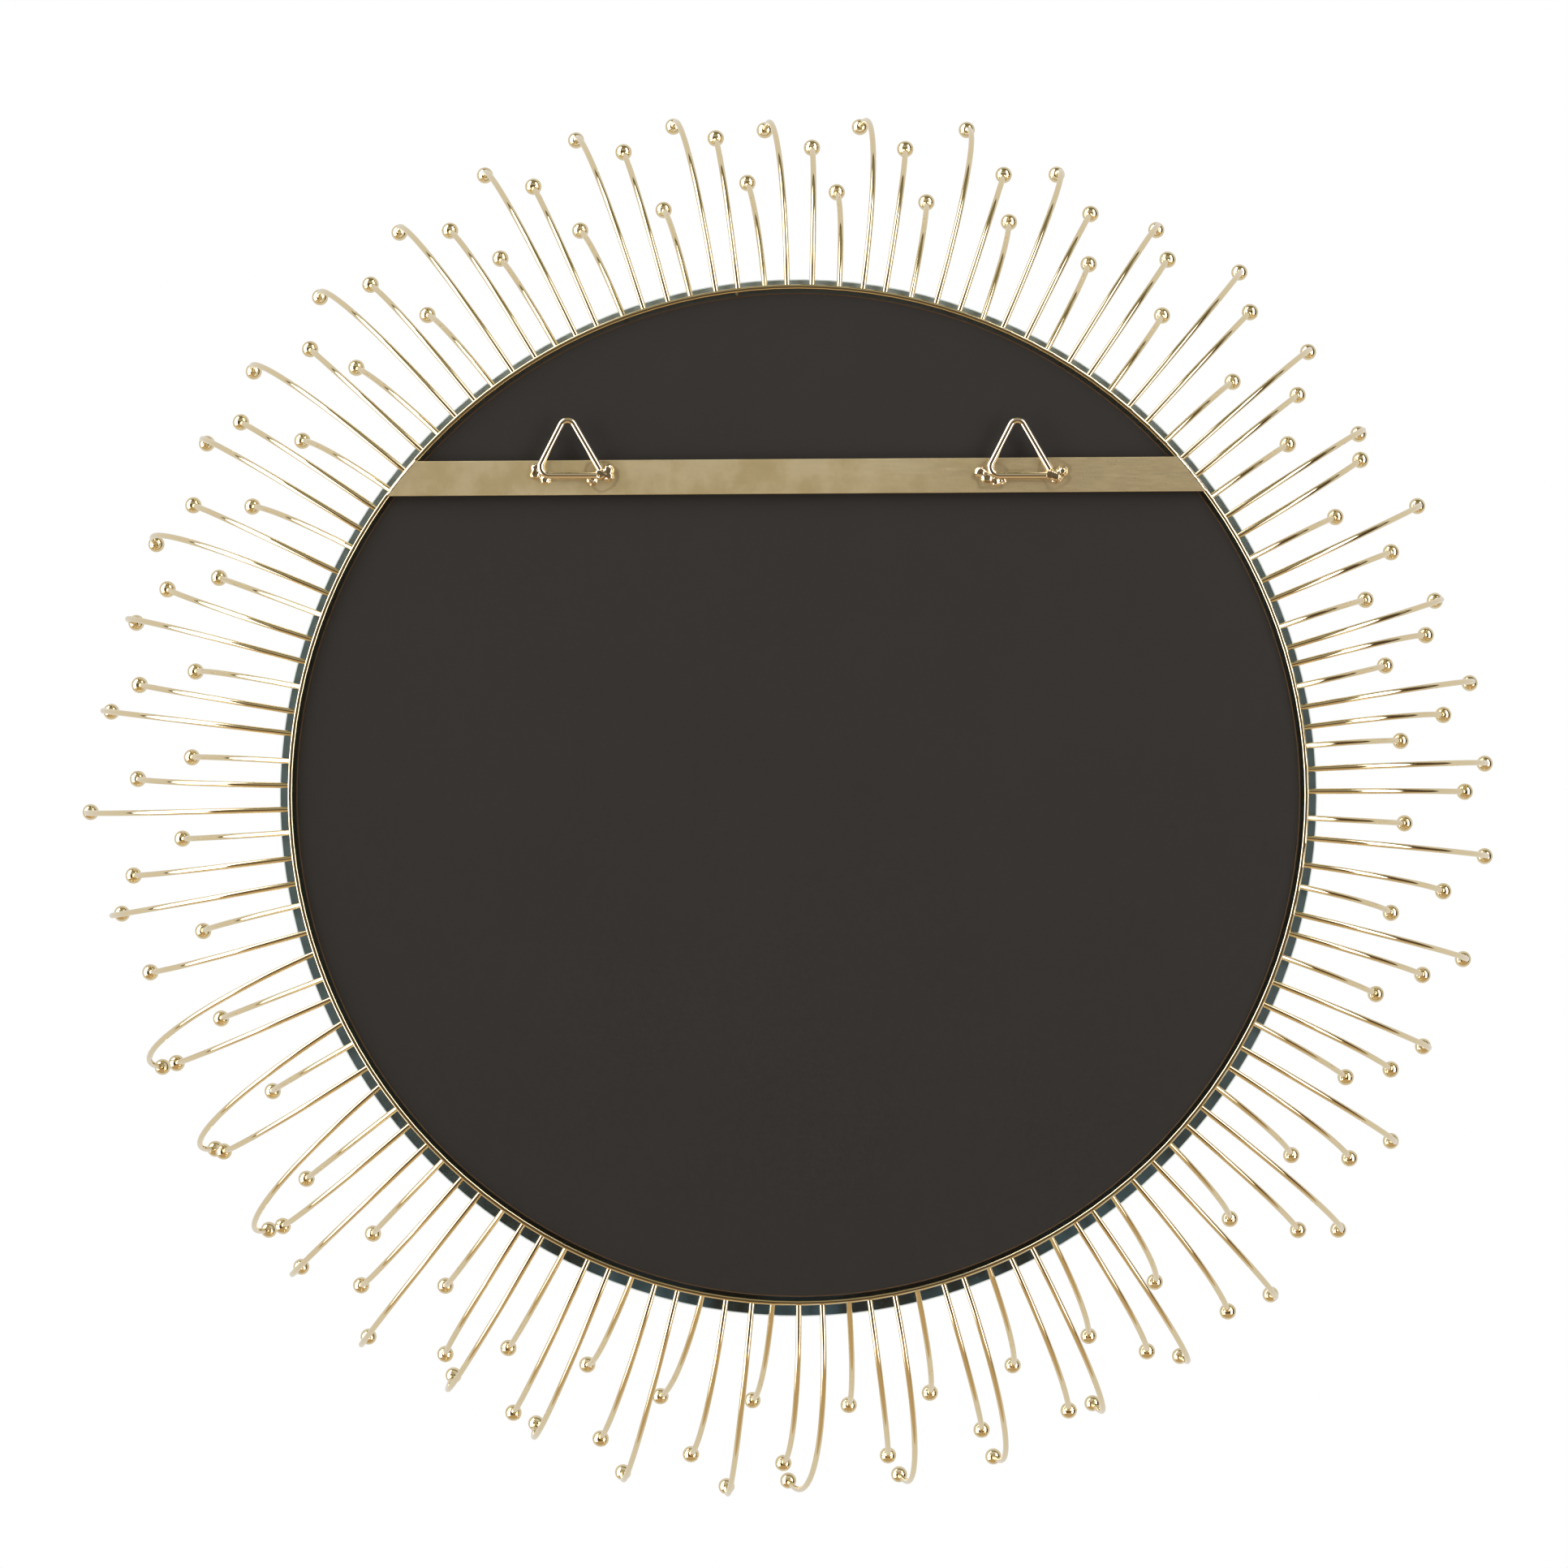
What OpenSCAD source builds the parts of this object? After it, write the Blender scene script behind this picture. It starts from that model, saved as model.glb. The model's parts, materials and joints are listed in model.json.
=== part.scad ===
// Round wall mirror with a sunburst of wire spikes bent forward, each ending in a ball.
// Z is up as the mirror hangs. The wall is the plane y = 0 and the glass faces +Y.
// The origin is on the wall, straight behind the middle of the rim.
// Angles round the rim start at +X and run clockwise as seen from the wall.

/* [Mirror] */
// Diameter of the glass
glass_d = 450; // [446:1:460]
// Thickness of the glass
glass_t = 4; // [3:0.5:6]
// Width of the ground chamfer round the glass
glass_chamfer = 0.5; // [0.2:0.1:1]
// How far the glass sits below the middle of the rim
glass_drop = 1.3; // [0:0.1:2]
// Thickness of the silver film and of the paint behind it, each
film_t = 0.1; // [0.05:0.05:0.2]
// Gap that keeps the silver film clear of the glass
film_gap = 0.05; // [0.02:0.01:0.1]

/* [Backing board] */
// Diameter of the board inside the rim
board_d = 434.4; // [430:0.2:436]
// Thickness of the board
board_t = 5; // [3:0.5:5]
// How far the board sits inside the back edge of the rim
board_recess = 3; // [2:0.5:3]
// Chamfer where the board's raw edge shows
board_chamfer = 0.6; // [0.3:0.1:1]
// Diameter of each adhesive pad between board and glass
pad_d = 42; // [20:1:60]
// Radius of the circle of adhesive pads
pad_circle_r = 165; // [120:1:185]
// Number of adhesive pads on that circle
pad_count = 8; // [4:1:12]

/* [Rim] */
// Outer diameter of the rim band
rim_d = 441.2; // [440:0.2:443]
// Thickness of the band
rim_t = 2; // [1.5:0.1:3]
// Depth of the band from back to front
rim_depth = 9; // [9:0.5:12]
// Rounding of the band's edges
rim_round = 0.7; // [0.3:0.1:0.7]
// Where the ends of the band are welded together, as an angle round the rim
seam_angle = 263; // [240:1:300]
// Thickness of that weld bead
seam_weld_d = 1.2; // [0.8:0.1:1.3]

/* [Hanging strap] */
// Height of the flat bar
strap_w = 15; // [12:0.5:20]
// Thickness of the flat bar
strap_t = 2; // [1.5:0.1:3]
// Rounding of its long edges
strap_round = 0.4; // [0.2:0.1:0.7]
// Height of the bar above the middle of the rim
strap_z = 137.5; // [120:0.5:160]
// Slope of the bar, up to the right as seen from the wall
strap_tilt = 0.35; // [0:0.05:0.6]
// How far the bar stops short of the outside of the rim, where the weld begins
strap_setback = 1.6; // [0.8:0.1:1.6]
// Radius of the quarter-round weld bead along each end
strap_weld_r = 1.6; // [1.2:0.1:1.9]

/* [Hangers] */
// Distance between the two hanging loops
hanger_span = 194; // [160:1:240]
// How far the pair of loops is off centre
hanger_shift = -2.7; // [-4:0.1:4]
// Wire of the loops
hanger_wire_d = 3; // [2.4:0.1:3.2]
// Height of the loops' feet above the middle of the rim
hanger_z = 137.7; // [137:0.1:138]
// Height of a loop from the middle of its foot to the middle of its peak
hanger_h = 23.8; // [20:0.1:28]
// Lean of the leg at the closed lower corner
hanger_closed_lean = 27; // [24:1:32]
// Lean of the leg at the open lower corner
hanger_open_lean = 30; // [24:1:32]
// Bend radius of the peak
hanger_peak_r = 3.1; // [2.5:0.1:4]
// Bend radius of the closed lower corner
hanger_corner_r = 3.8; // [3:0.1:5]
// Room left between leg and foot in the open lower corner, where the weld sits
hanger_gap = 3; // [2.6:0.1:3.6]

/* [Spikes] */
// Number of groups, each of one long, one medium and one short spike
group_count = 44; // [44:11:44]
// Wire of the spikes
wire_d = 2.5; // [2:0.1:3]
// Balls on the ends
ball_d = 7.3; // [6:0.1:9]
// Angle of the first long spike round the rim
first_angle = 5.5; // [0:0.1:8]
// Straight start of every spike, before its bend
spike_straight = 4; // [2:0.5:8]
// Length of the bent wire of a long spike
long_bend = 140.5; // [134:0.5:148]
// How far a long spike is bent forward, in degrees
long_turn = 95; // [88:1:102]
// Length of the bent wire of a medium spike
medium_bend = 90; // [84:0.5:96]
// How far a medium spike is bent forward, in degrees
medium_turn = 73; // [66:1:80]
// Length of the bent wire of a short spike
short_bend = 71.5; // [66:0.5:76]
// How far a short spike is bent forward, in degrees
short_turn = 52; // [46:1:58]
// How far a short spike points forward already where it leaves the rim, in degrees
short_rise = 23; // [16:1:26]

/* [Handwork] */
// Largest error in a spike's place round the rim, in degrees
place_error = 0.25; // [0:0.05:0.4]
// Largest error in the length of a spike
length_error = 3; // [0:0.5:4]
// Largest error in how far a spike is bent forward, in degrees
bend_error = 6; // [0:0.5:8]
// Largest error in the sideways lean of a spike, in degrees
lean_error = 2; // [0:0.5:3]
// How much longer the spikes are on the lower left and shorter on the upper right, as a share
length_spread = 0.1; // [0:0.01:0.12]
// How much further the spikes are bent on the lower left and less on the upper right, in degrees
bend_spread = 3; // [0:0.5:4]

/* [Hidden] */
$fn = 96;
wire_facets = 24;
ball_facets = 32;
// How far each piece of a bent wire starts inside the one before it, and how much thinner it is
wire_lap = 0.1;
wire_step = 0.02;

rim_r = rim_d / 2;
strap_back = hanger_wire_d;
rim_back = strap_back + strap_t;
rim_front = rim_back + rim_depth;
board_back = rim_back + board_recess;
board_front = board_back + board_t;
paint_back = rim_front;
silver_back = paint_back + film_t;
glass_back = silver_back + film_t + film_gap;
film_d = glass_d - 2 * glass_chamfer;
foot_y = rim_back + rim_depth / 2;
strap_end_r = rim_r - strap_setback;

// The strap's ends: how far out they are, and how far above the X axis a corner is, as an angle
// edge is 1 for the upper corner and -1 for the lower one
strap_end_x = sqrt(pow(strap_end_r, 2) - pow(strap_z, 2));
function strap_end_angle(side, edge) =
    asin((strap_z + side * strap_end_x * tan(strap_tilt) + edge * strap_w / 2) / strap_end_r);

// The loops: triangles with one open corner, measured between the places where their centre lines would meet
hanger_half_peak = (hanger_closed_lean + hanger_open_lean) / 2;
hanger_peak_skew = cos((hanger_open_lean - hanger_closed_lean) / 2);
hanger_rise = hanger_h + hanger_peak_r * (hanger_peak_skew / sin(hanger_half_peak) - 1);
hanger_closed_foot = hanger_rise * tan(hanger_closed_lean);
hanger_open_foot = hanger_rise * tan(hanger_open_lean);
hanger_corner_cut = hanger_corner_r * tan(45 + hanger_closed_lean / 2);
hanger_peak_cut = hanger_peak_r / tan(hanger_half_peak);
function hanger_x(side) = hanger_shift + side * hanger_span / 2;

// Each kind of spike: length of its bent wire, how far that is bent, how far forward its foot points
SPIKES = [
    [long_bend, long_turn, 0],
    [medium_bend, medium_turn, 0],
    [short_bend, short_turn, short_rise]
];
kinds = len(SPIKES);
spike_count = group_count * kinds;
groups_per_quarter = group_count / 4;
spread_angle = 135;
// The wire goes this far short of the middle of its ball, so its end is inside and is cut round
ball_seat = ball_d / 2 - 0.4;

// Sideways lean of each kind of spike against its angle round the rim: the mean of the handwork
LEANS = [
    [[0, -1.5], [25, -2.5], [38, -4.5], [47, -0.5], [62, -5], [88, -10], [96, -1], [112, -3.5],
     [120, 0], [137, 2.5], [145, 9.5], [162, 11], [169, 1], [196, 0.5], [203, 6], [211, 1],
     [220, 4.5], [290, 6], [301, -0.5], [360, -1.5]],
    [[0, -2.5], [25, -4.5], [66, -5.5], [76, -2], [98, -6.5], [115, -3.5], [123, 1.5], [140, -2],
     [180, -1.5], [230, 2], [285, 3], [300, -1.5], [330, 0], [345, -2], [360, -2.5]],
    [[0, -2], [28, -5], [62, -7.5], [76, -3], [100, -8], [117, -3.5], [127, -1], [200, 2], [224, 6],
     [236, 1.5], [250, 5.5], [275, 5], [308, 3.5], [316, -1.5], [335, 0], [360, -2]]
];

// How far the spikes have crept round the rim from even spacing, against their angle
// The last few are squeezed in
CREEP = [
    [0, -0.4], [45, -0.6], [54, 0], [110, -0.1], [150, 0.5], [190, 1.4], [250, 1.5], [280, 1.7], [300, 2.1],
    [340, 2.3], [357, -0.4], [360, -0.4]
];

// How far each kind of spike swings round the rim from its foot, against its angle
SWINGS = [
    [[0, 0], [139, 0], [144, -6], [163, -6], [169, 0], [360, 0]],
    [[0, 0], [360, 0]],
    [[0, 0], [360, 0]]
];

PLACE_ERRORS = rands(-place_error, place_error, spike_count, 11);
LENGTH_ERRORS = rands(-length_error, length_error, spike_count, 23);
BEND_ERRORS = rands(-bend_error, bend_error, spike_count, 37);
LEAN_ERRORS = rands(-lean_error, lean_error, spike_count, 41);

function spike_number(group, kind) = kinds * group + kind;
function spike_angle(group, kind) =
    let (n = spike_number(group, kind), even = first_angle + n * 360 / spike_count)
    even + lookup(even, CREEP) + PLACE_ERRORS[n];
function quarter_groups(quarter) =
    [for (i = [0 : groups_per_quarter - 1]) quarter * groups_per_quarter + i];

// How far a spike is bent forward, the length of its bent wire, and the radius of that bend
function spread(group, kind) = cos(spike_angle(group, kind) - spread_angle);
function spike_turn(group, kind) =
    SPIKES[kind][1] + bend_spread * spread(group, kind) + BEND_ERRORS[spike_number(group, kind)];
function spike_bend(group, kind) =
    SPIKES[kind][0] * (1 + length_spread * spread(group, kind)) + LENGTH_ERRORS[spike_number(group, kind)];
function spike_radius(group, kind) = spike_bend(group, kind) / (spike_turn(group, kind) * PI / 180);

// The pieces of one spike's wire, which starts one wire's thickness inside the rim's outer face
function spike_pieces(group, kind) = [
    [wire_d + spike_straight],
    [spike_radius(group, kind), spike_turn(group, kind)]
];

// The middle of the ball, just beyond the end of that wire, in the spike's plane
function ball_place(group, kind) =
    let (r = spike_radius(group, kind), turn = spike_turn(group, kind))
    [
        spike_straight + r * sin(turn) + ball_seat * cos(turn),
        r * (1 - cos(turn)) + ball_seat * sin(turn),
        0
    ];

// Turns what is drawn upward along Z to point forward along Y
module forward() {
    rotate([-90, 0, 0])
        children();
}

// Puts what is drawn on the +X side at an angle round the rim, clockwise as seen from the wall
module round_the_rim(angle) {
    rotate([0, angle, 0])
        children();
}

// A disc with both edges chamfered, standing on z = 0
module chamfered_disc(d, t, c) {
    rotate_extrude()
        polygon([[0, 0], [d / 2 - c, 0], [d / 2, c], [d / 2, t - c], [d / 2 - c, t], [0, t]]);
}

// A rectangle with round corners, centred
module rounded_rectangle(w, h, r) {
    square([w - 2 * r, h], center = true);
    square([w, h - 2 * r], center = true);
    for (x = [-1, 1], y = [-1, 1])
        translate([x * (w / 2 - r), y * (h / 2 - r)])
            circle(r = r);
}

// A wire that starts at the origin along +X and bends towards +Y
// Each piece is a straight [length] or a bend [radius, turn]
module bent_wire(d, pieces, i = 0) {
    if (i < len(pieces)) {
        piece = pieces[i];
        lap = i > 0 ? wire_lap : 0;
        if (len(piece) == 1) {
            translate([-lap, 0, 0])
                rotate([0, 90, 0])
                    cylinder(d = d, h = piece[0] + lap, $fn = wire_facets);
            translate([piece[0], 0, 0])
                bent_wire(d - wire_step, pieces, i + 1);
        } else {
            r = piece[0];
            turn = piece[1];
            lap_angle = lap / r * 180 / PI;
            translate([0, r, 0])
                rotate([0, 0, -90 - lap_angle])
                    rotate_extrude(angle = turn + lap_angle)
                        translate([r, 0])
                            circle(d = d, $fn = wire_facets);
            translate([r * sin(turn), r * (1 - cos(turn)), 0])
                rotate([0, 0, turn])
                    bent_wire(d - wire_step, pieces, i + 1);
        }
    }
}

module mirror_glass() {
    color("lightcyan")
        translate([0, glass_back, -glass_drop])
            forward()
                chamfered_disc(glass_d, glass_t, glass_chamfer);
}

module mirror_silvering() {
    color("silver")
        translate([0, silver_back, -glass_drop])
            forward()
                cylinder(d = film_d, h = film_t);
}

module mirror_back_paint() {
    color("slategray")
        translate([0, paint_back, -glass_drop])
            forward()
                cylinder(d = film_d, h = film_t);
}

module adhesive_pads() {
    pad_t = paint_back - board_front;
    color("whitesmoke")
        translate([0, board_front, 0])
            forward() {
                cylinder(d = pad_d, h = pad_t);
                for (i = [0 : pad_count - 1])
                    rotate(i * 360 / pad_count)
                        translate([pad_circle_r, 0, 0])
                            cylinder(d = pad_d, h = pad_t);
            }
}

module backing_board() {
    color([0.2, 0.18, 0.17])
        translate([0, board_back, 0])
            forward()
                chamfered_disc(board_d, board_t, board_chamfer);
}

module rim_profile() {
    translate([rim_r - rim_t / 2, rim_depth / 2])
        rounded_rectangle(rim_t, rim_depth, rim_round);
}

module rim_band() {
    color("goldenrod")
        translate([0, rim_back, 0])
            forward()
                rotate_extrude()
                    rim_profile();
}

// The bead where the ends of the band meet, on the part of the inner wall behind the board
module rim_seam_weld() {
    color("darkgoldenrod")
        round_the_rim(seam_angle)
            translate([rim_r - rim_t - seam_weld_d / 2, rim_back + rim_round, 0])
                forward()
                    cylinder(d = seam_weld_d, h = board_recess - rim_round);
}

// A flat bar with its ends cut along the rim
module hanging_strap() {
    color("darkkhaki")
        intersection() {
            translate([0, strap_back + strap_t / 2, strap_z])
                rotate([0, -strap_tilt, 0])
                    rotate([90, 0, 90])
                        linear_extrude(height = rim_d, center = true)
                            rounded_rectangle(strap_t, strap_w, strap_round);
            forward()
                cylinder(r = strap_end_r, h = rim_back + strap_t);
        }
}

// The bead that joins one end of the strap to the back edge of the rim: a quarter-round strip
// side is 1 at the +X end and -1 at the other
module strap_weld(side) {
    top = strap_end_angle(side, 1);
    bottom = strap_end_angle(side, -1);
    color("palegoldenrod")
        forward()
            rotate(side > 0 ? -top : 180 + bottom)
                rotate_extrude(angle = top - bottom)
                    translate([strap_end_r, rim_back])
                        intersection() {
                            circle(r = strap_weld_r);
                            translate([0, -strap_weld_r])
                                square(strap_weld_r);
                        }
}

module strap_weld_left() {
    strap_weld(-1);
}

module strap_weld_right() {
    strap_weld(1);
}

// The wire of one loop: along its foot, round the closed corner, over the peak and down again
module hanger_shape(side) {
    translate([hanger_x(side), strap_back - hanger_wire_d / 2, hanger_z])
        rotate([90, 0, 180])
            translate([hanger_gap - hanger_open_foot, 0, 0])
                bent_wire(hanger_wire_d, [
                    [hanger_open_foot + hanger_closed_foot - hanger_gap - hanger_corner_cut],
                    [hanger_corner_r, 90 + hanger_closed_lean],
                    [hanger_rise / cos(hanger_closed_lean) - hanger_corner_cut - hanger_peak_cut],
                    [hanger_peak_r, 180 - 2 * hanger_half_peak],
                    [hanger_rise / cos(hanger_open_lean) - hanger_peak_cut - hanger_gap]
                ]);
}

module hanger_left() {
    color("khaki")
        hanger_shape(-1);
}

module hanger_right() {
    color("khaki")
        hanger_shape(1);
}

// Lumps of weld metal on the strap: each is a place along and above the loop's foot, a radius and a rise
module hanger_weld(side, lumps) {
    color("lightgoldenrodyellow")
        difference() {
            translate([hanger_x(side), strap_back, hanger_z])
                for (lump = lumps)
                    translate([lump[0], lump[2] - lump[3], lump[1]])
                        sphere(r = lump[2]);
            translate([hanger_x(side), strap_back + hanger_wire_d, hanger_z])
                cube([hanger_span / 2, 2 * hanger_wire_d, strap_w], center = true);
            hanger_shape(side);
        }
}

module hanger_left_closed_weld() {
    hanger_weld(-1, [[-13.4, 3.4, 1.7, 1.9], [-13.6, 0.8, 1.9, 2.1], [-9.2, -1.6, 1.9, 1.8]]);
}

module hanger_left_open_weld() {
    hanger_weld(-1, [
        [14.2, 0.8, 2, 2.4], [17.7, 2.4, 2.2, 2.3],
        [17.6, -0.3, 2.1, 2.1], [10.8, -2.1, 2, 1.6]
    ]);
}

module hanger_right_closed_weld() {
    hanger_weld(1, [
        [-15.8, 1.6, 2.1, 2.1], [-13, -0.8, 2, 2],
        [-9.4, -2, 2.3, 1.6], [-6.4, -1.9, 1.7, 1.2]
    ]);
}

module hanger_right_open_weld() {
    hanger_weld(1, [[14.2, 0.6, 2.1, 2.4], [16.8, -0.6, 2.3, 2.3], [19.6, 2.1, 2, 1.9]]);
}

// Stands a spike's plane at its place round the rim: +X outward, +Y forward
module spike_frame(group, kind) {
    angle = spike_angle(group, kind);
    lean = lookup(angle, LEANS[kind]) + LEAN_ERRORS[spike_number(group, kind)];
    swing = lookup(angle, SWINGS[kind]);
    round_the_rim(angle)
        translate([rim_r, foot_y, 0])
            rotate([lean, swing, 0])
                rotate([0, 0, SPIKES[kind][2]])
                    children();
}

module spike_wires(quarter, kind) {
    color("gold")
        difference() {
            for (group = quarter_groups(quarter))
                spike_frame(group, kind)
                    difference() {
                        translate([-wire_d, 0, 0])
                            bent_wire(wire_d, spike_pieces(group, kind));
                        translate(ball_place(group, kind))
                            sphere(d = ball_d, $fn = ball_facets);
                    }
            translate([0, foot_y, 0])
                forward()
                    cylinder(r = rim_r, h = rim_depth, center = true);
        }
}

module spike_balls(quarter, kind) {
    color("orange")
        for (group = quarter_groups(quarter))
            spike_frame(group, kind)
                translate(ball_place(group, kind))
                    sphere(d = ball_d, $fn = ball_facets);
}

mirror_glass();
mirror_silvering();
mirror_back_paint();
adhesive_pads();
backing_board();
rim_band();
rim_seam_weld();
hanging_strap();
strap_weld_left();
strap_weld_right();
hanger_left();
hanger_right();
hanger_left_closed_weld();
hanger_left_open_weld();
hanger_right_closed_weld();
hanger_right_open_weld();
spike_wires(0, 0);  // long_wires_lower_right
spike_wires(1, 0);  // long_wires_lower_left
spike_wires(2, 0);  // long_wires_upper_left
spike_wires(3, 0);  // long_wires_upper_right
spike_balls(0, 0);  // long_balls_lower_right
spike_balls(1, 0);  // long_balls_lower_left
spike_balls(2, 0);  // long_balls_upper_left
spike_balls(3, 0);  // long_balls_upper_right
spike_wires(0, 1);  // medium_wires_lower_right
spike_wires(1, 1);  // medium_wires_lower_left
spike_wires(2, 1);  // medium_wires_upper_left
spike_wires(3, 1);  // medium_wires_upper_right
spike_balls(0, 1);  // medium_balls_lower_right
spike_balls(1, 1);  // medium_balls_lower_left
spike_balls(2, 1);  // medium_balls_upper_left
spike_balls(3, 1);  // medium_balls_upper_right
spike_wires(0, 2);  // short_wires_lower_right
spike_wires(1, 2);  // short_wires_lower_left
spike_wires(2, 2);  // short_wires_upper_left
spike_wires(3, 2);  // short_wires_upper_right
spike_balls(0, 2);  // short_balls_lower_right
spike_balls(1, 2);  // short_balls_lower_left
spike_balls(2, 2);  // short_balls_upper_left
spike_balls(3, 2);  // short_balls_upper_right
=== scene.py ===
import json
import math

import bmesh
import bpy
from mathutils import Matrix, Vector, noise


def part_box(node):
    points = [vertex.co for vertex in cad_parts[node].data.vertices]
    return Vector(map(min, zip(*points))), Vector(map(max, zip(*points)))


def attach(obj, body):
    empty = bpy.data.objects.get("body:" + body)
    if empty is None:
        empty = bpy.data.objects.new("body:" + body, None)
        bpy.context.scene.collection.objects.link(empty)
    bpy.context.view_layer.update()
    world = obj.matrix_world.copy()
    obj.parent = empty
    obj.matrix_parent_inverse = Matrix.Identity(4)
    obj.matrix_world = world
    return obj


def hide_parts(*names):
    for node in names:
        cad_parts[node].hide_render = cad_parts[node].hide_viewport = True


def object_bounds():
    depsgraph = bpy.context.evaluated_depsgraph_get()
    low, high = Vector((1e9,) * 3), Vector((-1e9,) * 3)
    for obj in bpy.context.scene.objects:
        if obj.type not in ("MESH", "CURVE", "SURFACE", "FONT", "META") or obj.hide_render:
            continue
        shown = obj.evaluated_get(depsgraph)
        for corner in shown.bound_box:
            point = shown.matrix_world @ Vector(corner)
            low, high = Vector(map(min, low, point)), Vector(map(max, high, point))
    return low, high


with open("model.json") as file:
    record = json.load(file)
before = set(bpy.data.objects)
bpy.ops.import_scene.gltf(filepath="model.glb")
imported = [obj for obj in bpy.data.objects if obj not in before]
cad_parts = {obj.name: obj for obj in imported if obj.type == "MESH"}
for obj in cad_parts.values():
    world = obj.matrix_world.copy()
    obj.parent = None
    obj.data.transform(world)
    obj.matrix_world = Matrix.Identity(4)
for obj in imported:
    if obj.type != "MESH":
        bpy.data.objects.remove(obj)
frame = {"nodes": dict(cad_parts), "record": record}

CAD_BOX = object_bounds()
MM = 0.001
DEGREES = 180 / math.pi

# The stage, in metres: the camera stands this far behind the back edge of the rim
CAMERA_DISTANCE = 2.2
CAMERA_OFFSET = (-6.2 * MM, 4.7 * MM)
VIEW_WIDTH = 677.2 * MM
SENSOR_WIDTH = 36.0
FLOOR_DROP = 0.25
FLOOR_RADIUS = 1.3
FLOOR_SEGMENTS = 96
KEY_PLACE = (-0.9, -1.3, 1.6)
KEY_SIZE = 1.4
KEY_POWER = 9


# ---------------------------------------------------------------- node helpers


class Shader:
    """A node tree with short calls for the nodes that the materials share."""

    def __init__(self, tree):
        self.tree = tree
        self.tree.nodes.clear()

    def node(self, kind, **values):
        made = self.tree.nodes.new(kind)
        for name, value in values.items():
            setattr(made, name, value)
        return made

    def join(self, source, socket):
        """Puts a constant or another node's output into a socket."""
        if isinstance(source, bpy.types.NodeSocket):
            self.tree.links.new(source, socket)
        else:
            socket.default_value = source

    def math(self, operation, a, b=0.0, clamp=False):
        made = self.node("ShaderNodeMath", operation=operation, use_clamp=clamp)
        self.join(a, made.inputs[0])
        self.join(b, made.inputs[1])
        return made.outputs[0]

    def step(self, value, low, high, to_low=0.0, to_high=1.0):
        """Goes smoothly from to_low to to_high while value goes from low to high."""
        made = self.node("ShaderNodeMapRange", interpolation_type="SMOOTHSTEP")
        for name, source in (("Value", value), ("From Min", low), ("From Max", high),
                             ("To Min", to_low), ("To Max", to_high)):
            self.join(source, made.inputs[name])
        return made.outputs["Result"]

    def band(self, value, low, high, soft):
        """1 between low and high, with soft edges."""
        rise = self.step(value, low - soft, low + soft)
        fall = self.step(value, high - soft, high + soft, 1.0, 0.0)
        return self.math("MULTIPLY", rise, fall)

    def mix(self, factor, a, b, blend="MIX"):
        made = self.node("ShaderNodeMix", data_type="RGBA", blend_type=blend)
        self.join(factor, made.inputs[0])
        self.join(a, made.inputs[6])
        self.join(b, made.inputs[7])
        return made.outputs[2]

    def noise(self, vector, scale, detail=3.0, roughness=0.5):
        made = self.node("ShaderNodeTexNoise")
        self.join(vector, made.inputs["Vector"])
        made.inputs["Scale"].default_value = scale
        made.inputs["Detail"].default_value = detail
        made.inputs["Roughness"].default_value = roughness
        return made.outputs["Fac"]

    def stretched(self, vector, factors):
        """The coordinates, stretched along the axes."""
        made = self.node("ShaderNodeVectorMath", operation="MULTIPLY")
        self.join(vector, made.inputs[0])
        made.inputs[1].default_value = factors
        return made.outputs[0]

    def split(self, vector):
        made = self.node("ShaderNodeSeparateXYZ")
        self.join(vector, made.inputs[0])
        return made.outputs

    def ramp(self, value, stops):
        """A colour for each value from 0 to 1, with stops of (place, colour)."""
        made = self.node("ShaderNodeValToRGB")
        elements = made.color_ramp.elements
        while len(elements) < len(stops):
            elements.new(1.0)
        for element, (place, colour) in zip(elements, stops):
            element.position = place
            element.color = (*colour, 1.0)
        self.join(value, made.inputs[0])
        return made.outputs[0]

    def bump(self, height, distance, strength=1.0, normal=None):
        made = self.node("ShaderNodeBump")
        made.inputs["Strength"].default_value = strength
        made.inputs["Distance"].default_value = distance
        self.join(height, made.inputs["Height"])
        if normal is not None:
            self.join(normal, made.inputs["Normal"])
        return made.outputs[0]

    def near(self, place, point, reach):
        """1 at a point, falling smoothly to 0 at this distance from it."""
        made = self.node("ShaderNodeVectorMath", operation="DISTANCE")
        self.join(place, made.inputs[0])
        made.inputs[1].default_value = point
        return self.step(made.outputs["Value"], 0.0, reach, 1.0, 0.0)


def material(name, **settings):
    """An empty material: its shader, its Principled node and its object coordinates."""
    made = bpy.data.materials.new(name)
    made.use_nodes = True
    shader = Shader(made.node_tree)
    surface = shader.node("ShaderNodeBsdfPrincipled")
    output = shader.node("ShaderNodeOutputMaterial")
    shader.join(surface.outputs[0], output.inputs["Surface"])
    for socket, value in settings.items():
        surface.inputs[socket.replace("_", " ")].default_value = value
    place = shader.node("ShaderNodeTexCoord").outputs["Object"]
    return made, shader, surface, place


# ---------------------------------------------------------------- stage


def make_camera():
    """Looks straight at the back of the mirror."""
    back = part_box("rim_band")[0].y
    data = bpy.data.cameras.new("camera")
    data.sensor_width = SENSOR_WIDTH
    data.lens = SENSOR_WIDTH * CAMERA_DISTANCE / VIEW_WIDTH
    camera = bpy.data.objects.new("camera", data)
    camera.location = (CAMERA_OFFSET[0], back - CAMERA_DISTANCE, CAMERA_OFFSET[1])
    camera.rotation_euler = (math.radians(90), 0, 0)
    bpy.context.scene.collection.objects.link(camera)
    bpy.context.scene.camera = camera


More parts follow.
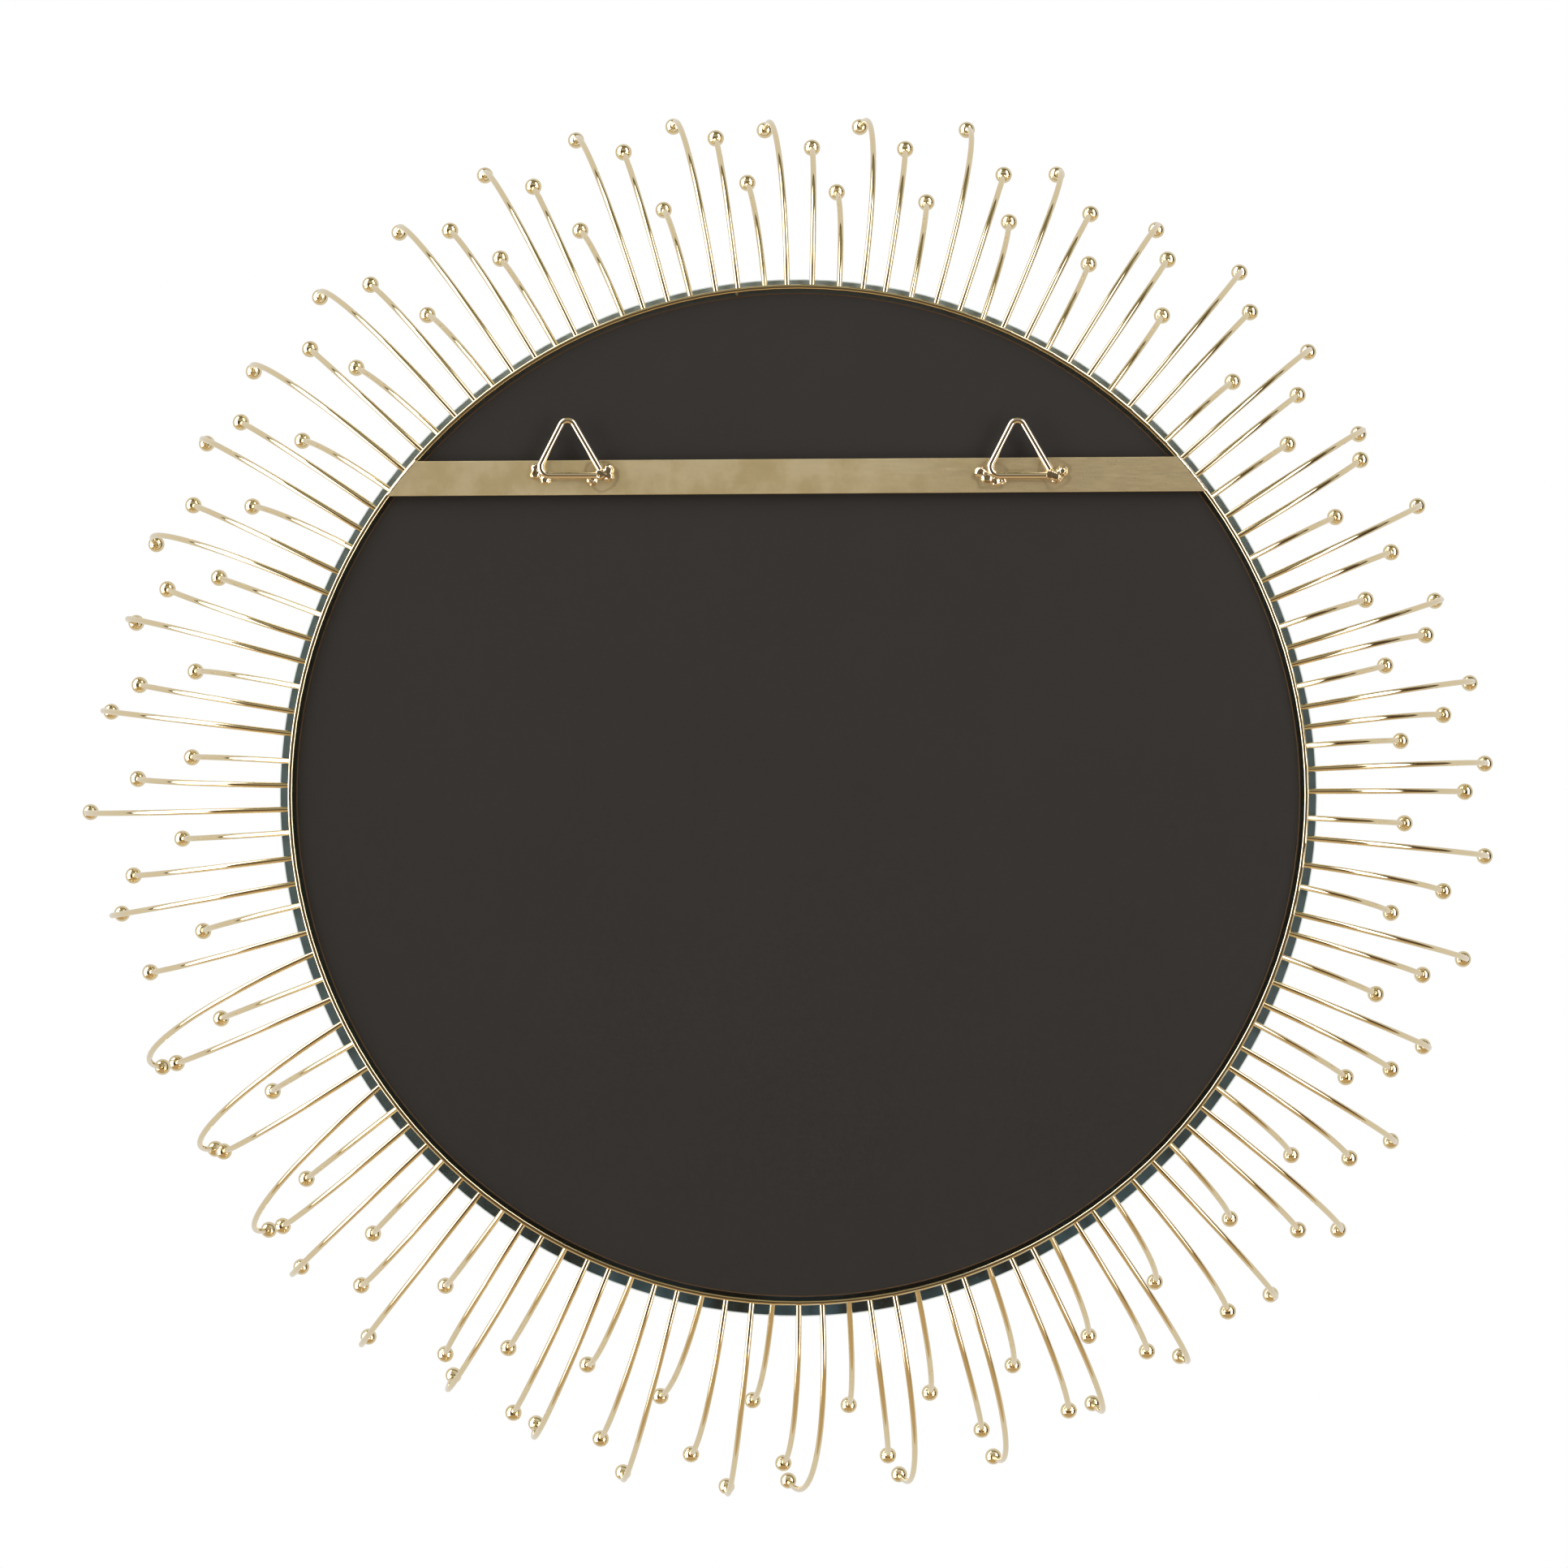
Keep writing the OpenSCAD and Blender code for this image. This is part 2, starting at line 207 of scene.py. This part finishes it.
# What polished metal sees: an even pale room, and round the camera the darker half of it with two
# bright windows. Angles are in degrees from the line that runs from the object to the camera
ROOM_EDGE = 100.0
ROOM_LIGHT = (0.79, 0.765, 0.73)
LEFT_WINDOW = (46.0, 95.0, -34.0, 66.0)
RIGHT_WINDOW = (-66.0, -38.0, -30.0, 52.0)
RIGHT_SHADE = (-88.0, -67.0, -24.0, 46.0)
WHITE_LIGHT = (4.2, 4.2, 4.3)
SHADE_BROWN = (0.09, 0.06, 0.04)
EDGE_LINE = (95.5, ROOM_EDGE)
EDGE_OLIVE = (0.1, 0.08, 0.045, 1.0)


def make_world():
    """The room that the metal reflects. The camera itself sees plain white."""
    world = bpy.data.worlds.new("studio")
    bpy.context.scene.world = world
    world.use_nodes = True
    shader = Shader(world.node_tree)
    output = shader.node("ShaderNodeOutputWorld")
    direction = shader.node("ShaderNodeTexCoord").outputs["Generated"]
    x, y, z = shader.split(direction)
    toward = shader.math("MULTIPLY", y, -1.0)
    leftward = shader.math("MULTIPLY", x, -1.0)

    # Three angles: to the left, upward, and away from the camera in any direction
    left = shader.math("MULTIPLY", shader.math("ARCTAN2", leftward, toward), DEGREES)
    up = shader.math("MULTIPLY", shader.math("ARCSINE", z), DEGREES)
    away = shader.math("MULTIPLY", shader.math("ARCCOSINE", toward), DEGREES)

    # From straight down, through tan and dark to a paler band, to straight up
    height = shader.math("DIVIDE", shader.math("ADD", up, 90.0), 180.0)
    behind = shader.ramp(height, [
        (0.0, (0.6, 0.46, 0.29)),
        (0.31, (0.56, 0.4, 0.22)),
        (0.345, (0.46, 0.3, 0.16)),
        (0.375, (0.1, 0.065, 0.04)),
        (0.57, (0.12, 0.095, 0.06)),
        (0.63, (0.5, 0.46, 0.38)),
        (0.73, (0.46, 0.43, 0.34)),
        (0.8, (0.22, 0.2, 0.11)),
        (1.0, (0.26, 0.235, 0.14)),
    ])
    panels = (
        (LEFT_WINDOW, WHITE_LIGHT),
        (RIGHT_WINDOW, WHITE_LIGHT),
        (RIGHT_SHADE, SHADE_BROWN),
    )
    for (low, high, bottom, top), colour in panels:
        across = shader.band(left, low, high, 1.5)
        along = shader.band(up, bottom, top, 3.0)
        behind = shader.mix(shader.math("MULTIPLY", across, along), behind, (*colour, 1.0))
    # A thin dark line where the two halves of the room meet, except below
    line = shader.math("MULTIPLY", shader.band(away, *EDGE_LINE, 1.0), shader.step(up, -30.0, -8.0))
    behind = shader.mix(line, behind, EDGE_OLIVE)
    inside = shader.step(away, ROOM_EDGE - 1.5, ROOM_EDGE + 1.5, 1.0, 0.0)
    seen = shader.mix(inside, (*ROOM_LIGHT, 1.0), behind)

    surround = shader.node("ShaderNodeBackground")
    shader.join(seen, surround.inputs["Color"])
    plain = shader.node("ShaderNodeBackground")
    plain.inputs["Color"].default_value = (1, 1, 1, 1)
    choice = shader.node("ShaderNodeMixShader")
    shader.join(shader.node("ShaderNodeLightPath").outputs["Is Camera Ray"], choice.inputs[0])
    shader.join(surround.outputs[0], choice.inputs[1])
    shader.join(plain.outputs[0], choice.inputs[2])
    shader.join(choice.outputs[0], output.inputs["Surface"])


def make_floor():
    """A round pale floor below the object, which hangs clear of it. Metal doesn't reflect it."""
    mesh = bpy.data.meshes.new("floor")
    shape = bmesh.new()
    bmesh.ops.create_circle(shape, cap_ends=True, segments=FLOOR_SEGMENTS, radius=FLOOR_RADIUS)
    shape.to_mesh(mesh)
    shape.free()
    floor = bpy.data.objects.new("floor", mesh)
    floor.location = (0, 0, CAD_BOX[0].z - FLOOR_DROP)
    made, shader, surface, place = material("pale_floor", Roughness=0.7)
    grain = shader.noise(place, 40.0, 5.0)
    shader.join(shader.mix(grain, (0.86, 0.86, 0.85, 1), (0.9, 0.9, 0.89, 1)), surface.inputs["Base Color"])
    mesh.materials.append(made)
    floor.visible_glossy = False
    bpy.context.scene.collection.objects.link(floor)


def make_key_light():
    """A large soft light above the camera's left, which metal doesn't show."""
    data = bpy.data.lights.new("key", "AREA")
    data.shape = "DISK"
    data.size = KEY_SIZE
    data.energy = KEY_POWER
    key = bpy.data.objects.new("key", data)
    key.location = KEY_PLACE
    key.rotation_euler = (-Vector(key.location)).to_track_quat("-Z", "Y").to_euler()
    key.visible_camera = False
    key.visible_glossy = False
    bpy.context.scene.collection.objects.link(key)


# ---------------------------------------------------------------- materials


def polished_gold(name, tint, shine, wave):
    """Plated metal: even tint, a little uneven shine, and the gentle waves of bent wire or bar."""
    made, shader, surface, place = material(name, Metallic=1.0)
    patches = shader.noise(place, 55.0, 3.0)
    darker = tuple(0.93 * c for c in tint)
    shader.join(shader.mix(patches, (*darker, 1), (*tint, 1)), surface.inputs["Base Color"])
    cloud = shader.noise(place, 120.0, 2.0)
    shader.join(shader.step(cloud, 0.3, 0.8, shine, shine + 0.02), surface.inputs["Roughness"])
    waves = shader.noise(place, 60.0, 1.0)
    shader.join(shader.bump(waves, wave), surface.inputs["Normal"])
    return made


# The loop welds whose heat marked the strap, and how far round them
HEATED = ("hanger_left_open_weld", "hanger_right_closed_weld", "hanger_right_open_weld")
HEAT_REACH = 13 * MM


def satin_strap(name):
    """Flat bar: satin gold, smooth on its left, brushed on its right, marked by its welds' heat."""
    made, shader, surface, place = material(name, Metallic=0.8)
    low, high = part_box("hanging_strap")
    x, _, z = shader.split(place)
    right = shader.step(x, 0.1 * high.x, 0.6 * high.x)
    grain = shader.noise(shader.stretched(place, (0.12, 1.0, 1.0)), 1500.0, 3.0, 0.6)
    cloud = shader.noise(place, 60.0, 4.0, 0.6)
    colour = shader.mix(shader.step(cloud, 0.35, 0.65), (0.7, 0.57, 0.31, 1), (0.82, 0.7, 0.43, 1))
    colour = shader.mix(right, colour, shader.mix(grain, (0.54, 0.44, 0.25, 1), (0.76, 0.63, 0.38, 1)))
    speck = shader.step(shader.noise(place, 1300.0, 2.0), 0.66, 0.72)
    colour = shader.mix(shader.math("MULTIPLY", speck, right), colour, (0.4, 0.3, 0.17, 1))
    for node in HEATED:
        low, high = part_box(node)
        heat = shader.near(place, (low + high) / 2, HEAT_REACH)
        uneven = shader.math("ADD", heat, shader.math("MULTIPLY", shader.noise(place, 110.0, 2.0), 0.9))
        ring = shader.band(uneven, 0.84, 0.96, 0.08)
        colour = shader.mix(shader.math("MULTIPLY", ring, 0.55), colour, (0.34, 0.25, 0.12, 1))
        tint = shader.math("MULTIPLY", heat, shader.step(cloud, 0.3, 0.65))
        colour = shader.mix(tint, colour, (0.7, 0.56, 0.34, 1))
    shader.join(colour, surface.inputs["Base Color"])
    shader.join(shader.step(grain, 0.2, 0.8, 0.34, 0.42), surface.inputs["Roughness"])
    height = shader.math("MULTIPLY", grain, right)
    shader.join(shader.bump(height, 0.006 * MM), surface.inputs["Normal"])
    return made


def weld_metal(name):
    """Gold-plated weld lumps: bright, rippled, browner in the low parts of the ripple."""
    made, shader, surface, place = material(name, Metallic=1.0)
    ripple = shader.noise(place, 420.0, 3.0, 0.55)
    colour = shader.mix(shader.step(ripple, 0.34, 0.5), (0.5, 0.34, 0.18, 1), (0.93, 0.84, 0.64, 1))
    shader.join(colour, surface.inputs["Base Color"])
    shader.join(shader.step(ripple, 0.3, 0.7, 0.26, 0.12), surface.inputs["Roughness"])
    shader.join(shader.bump(ripple, 0.3 * MM), surface.inputs["Normal"])
    return made


def distance_from_axis(shader, place, middle):
    """Distance from the line through middle along Y."""
    x, _, z = shader.split(place)
    across = shader.math("SUBTRACT", x, middle.x)
    rise = shader.math("SUBTRACT", z, middle.z)
    across_squared = shader.math("MULTIPLY", across, across)
    rise_squared = shader.math("MULTIPLY", rise, rise)
    return shader.math("SQRT", shader.math("ADD", across_squared, rise_squared))


def centre_and_radius(node):
    low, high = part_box(node)
    return (low + high) / 2, (high.x - low.x) / 2


def dark_board(name):
    """Sealed fibreboard: near-black with a faint mottle, and a raw tan edge."""
    made, shader, surface, place = material(name)
    middle, radius = centre_and_radius("backing_board")
    mottle = shader.noise(place, 18.0, 4.0, 0.6)
    fleck = shader.noise(place, 900.0, 3.0, 0.7)
    face = shader.mix(mottle, (0.0125, 0.0102, 0.0088, 1), (0.0155, 0.0127, 0.011, 1))
    fibre = shader.mix(fleck, (0.06, 0.034, 0.018, 1), (0.14, 0.08, 0.045, 1))
    out = distance_from_axis(shader, place, middle)
    edge = shader.step(out, radius - 0.62 * MM, radius - 0.5 * MM)
    shader.join(shader.mix(edge, face, fibre), surface.inputs["Base Color"])
    shader.join(shader.step(fleck, 0.2, 0.8, 0.42, 0.55), surface.inputs["Roughness"])
    shader.join(shader.bump(fleck, 0.01 * MM), surface.inputs["Normal"])
    return made


def back_paint(name):
    """Glossy blue-grey paint on the back of the mirror, with a painted reflection: paler at the top, darker
    and banded at the bottom.
    """
    made, shader, surface, place = material(name, Roughness=0.18, Coat_Weight=0.6, Coat_Roughness=0.08)
    drift = shader.noise(place, 9.0, 3.0)
    speck = shader.noise(place, 700.0, 2.0)
    _, _, z = shader.split(place)
    low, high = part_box("mirror_back_paint")
    # Painted reflection: the paint is made paler towards the top and darker towards the bottom
    top = shader.step(z, 0.2 * high.z, high.z)
    bottom = shader.step(z, low.z, 0.35 * low.z, 1.0, 0.0)
    colour = shader.mix(drift, (0.075, 0.115, 0.13, 1), (0.105, 0.145, 0.16, 1))
    # Painted reflection: a paler grey over the top of the paint
    colour = shader.mix(top, colour, (0.2, 0.235, 0.225, 1))
    # Painted reflection: dark blotches and teal bands over the bottom of the paint
    band = shader.step(shader.noise(place, 26.0, 2.0), 0.45, 0.6)
    painted_low_reflection = shader.mix(band, (0.03, 0.038, 0.036, 1), (0.06, 0.105, 0.13, 1))
    colour = shader.mix(bottom, colour, painted_low_reflection)
    shader.join(shader.mix(shader.step(speck, 0.62, 0.8), colour, (0.08, 0.105, 0.115, 1)),
                surface.inputs["Base Color"])
    shader.join(shader.bump(drift, 0.05 * MM), surface.inputs["Normal"])
    return made


def silver_film(name):
    """The mirror's silvering: bright and smooth, a touch hazy towards its edge."""
    made, shader, surface, place = material(name, Metallic=1.0)
    middle, radius = centre_and_radius("mirror_silvering")
    out = distance_from_axis(shader, place, middle)
    haze = shader.math("MULTIPLY", shader.step(out, 0.97 * radius, radius), shader.noise(place, 120.0, 4.0))
    shader.join(shader.mix(haze, (0.93, 0.94, 0.94, 1), (0.75, 0.75, 0.72, 1)), surface.inputs["Base Color"])
    shader.join(shader.math("MULTIPLY", haze, 0.12), surface.inputs["Roughness"])
    return made


def mirror_glass(name):
    """Float glass: clear with a faint green cast, matt where its edge is ground."""
    made, shader, surface, place = material(name, Transmission_Weight=1.0, IOR=1.52)
    middle, radius = centre_and_radius("mirror_glass")
    out = distance_from_axis(shader, place, middle)
    ground = shader.step(out, radius - 0.6 * MM, radius - 0.45 * MM)
    frost = shader.noise(place, 1500.0, 3.0)
    shader.join(shader.mix(ground, (0.97, 0.99, 0.98, 1), (0.6, 0.72, 0.68, 1)), surface.inputs["Base Color"])
    matt = shader.step(frost, 0.2, 0.8, 0.28, 0.5)
    shader.join(shader.math("MULTIPLY", ground, matt), surface.inputs["Roughness"])
    return made


def adhesive(name):
    """Off-white glue pads between the mirror and its board."""
    made, shader, surface, place = material(name, Roughness=0.6)
    cloud = shader.noise(place, 70.0, 4.0)
    shader.join(shader.mix(cloud, (0.72, 0.71, 0.66, 1), (0.82, 0.81, 0.77, 1)), surface.inputs["Base Color"])
    shader.join(shader.bump(cloud, 0.2 * MM), surface.inputs["Normal"])
    return made


GOLD = (0.83, 0.71, 0.46)
PALE_GOLD = (0.88, 0.79, 0.62)

SLOTS = {
    "mirror_glass": mirror_glass("mirror_glass"),
    "silvering": silver_film("silvering"),
    "back_paint": back_paint("back_paint"),
    "adhesive": adhesive("adhesive"),
    "board": dark_board("board"),
    "rim_gold": polished_gold("rim_gold", GOLD, 0.1, 0.03 * MM),
    "strap_gold": satin_strap("strap_gold"),
    "hanger_gold": polished_gold("hanger_gold", PALE_GOLD, 0.07, 0.05 * MM),
    "weld_gold": weld_metal("weld_gold"),
    "wire_gold": polished_gold("wire_gold", GOLD, 0.075, 0.015 * MM),
    "ball_gold": polished_gold("ball_gold", GOLD, 0.03, 0.01 * MM),
}


def dress_cad_nodes():
    """Gives every CAD node the material of its slot in the record."""
    for part in frame["record"]["subparts"]:
        piece = frame["nodes"][part["node"]]
        piece.data.materials.clear()
        piece.data.materials.append(SLOTS[part["material_slot"]])


# ---------------------------------------------------------------- welds


WELDS = (
    "hanger_left_closed_weld",
    "hanger_left_open_weld",
    "hanger_right_closed_weld",
    "hanger_right_open_weld",
)
WELD_GRID = 0.3 * MM
WELD_SWELL = 0.95 * MM
WELD_SHRINK = 0.45 * WELD_SWELL
WELD_SMOOTHING = 8
WELD_LUMP = 0.45 * MM
LUMPS_PER_METRE = 520
DIMPLES_PER_METRE = 1300


def melt(piece):
    """Runs separate beads into one lump: swells the shape, fuses it, smooths it and shrinks it back."""
    for kind, settings in (
        ("REMESH", {"mode": "VOXEL", "voxel_size": WELD_GRID}),
        ("DISPLACE", {"strength": WELD_SWELL, "mid_level": 0.0}),
        ("REMESH", {"mode": "VOXEL", "voxel_size": WELD_GRID}),
        ("SMOOTH", {"factor": 0.5, "iterations": WELD_SMOOTHING}),
        ("DISPLACE", {"strength": -WELD_SHRINK, "mid_level": 0.0}),
    ):
        modifier = piece.modifiers.new(kind.lower(), kind)
        for setting, value in settings.items():
            setattr(modifier, setting, value)
    graph = bpy.context.evaluated_depsgraph_get()
    melted = bpy.data.meshes.new_from_object(piece.evaluated_get(graph))
    piece.modifiers.clear()
    piece.data = melted


def make_welds():
    """The lumps of weld that fix the hanging loops, each run together out of its beads."""
    for node in WELDS:
        source = frame["nodes"][node]
        piece = bpy.data.objects.new(node + "_lump", source.data.copy())
        piece.matrix_world = source.matrix_world.copy()
        bpy.context.scene.collection.objects.link(piece)
        melt(piece)
        low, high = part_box(node)
        to_piece = piece.matrix_world.inverted()
        for vertex in piece.data.vertices:
            spot = piece.matrix_world @ vertex.co
            lump = noise.noise(spot * LUMPS_PER_METRE) + 0.5 * noise.noise(spot * DIMPLES_PER_METRE)
            spot += vertex.normal * lump * WELD_LUMP
            spot.y = min(max(spot.y, low.y), high.y)
            vertex.co = to_piece @ spot
        piece.data.shade_smooth()
        piece.data.materials.clear()
        piece.data.materials.append(SLOTS["weld_gold"])
        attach(piece, "root")
        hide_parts(node)


# ---------------------------------------------------------------- scene


make_camera()
make_world()
make_key_light()
make_floor()
dress_cad_nodes()
make_welds()

scene = bpy.context.scene
scene.view_settings.view_transform = "Standard"
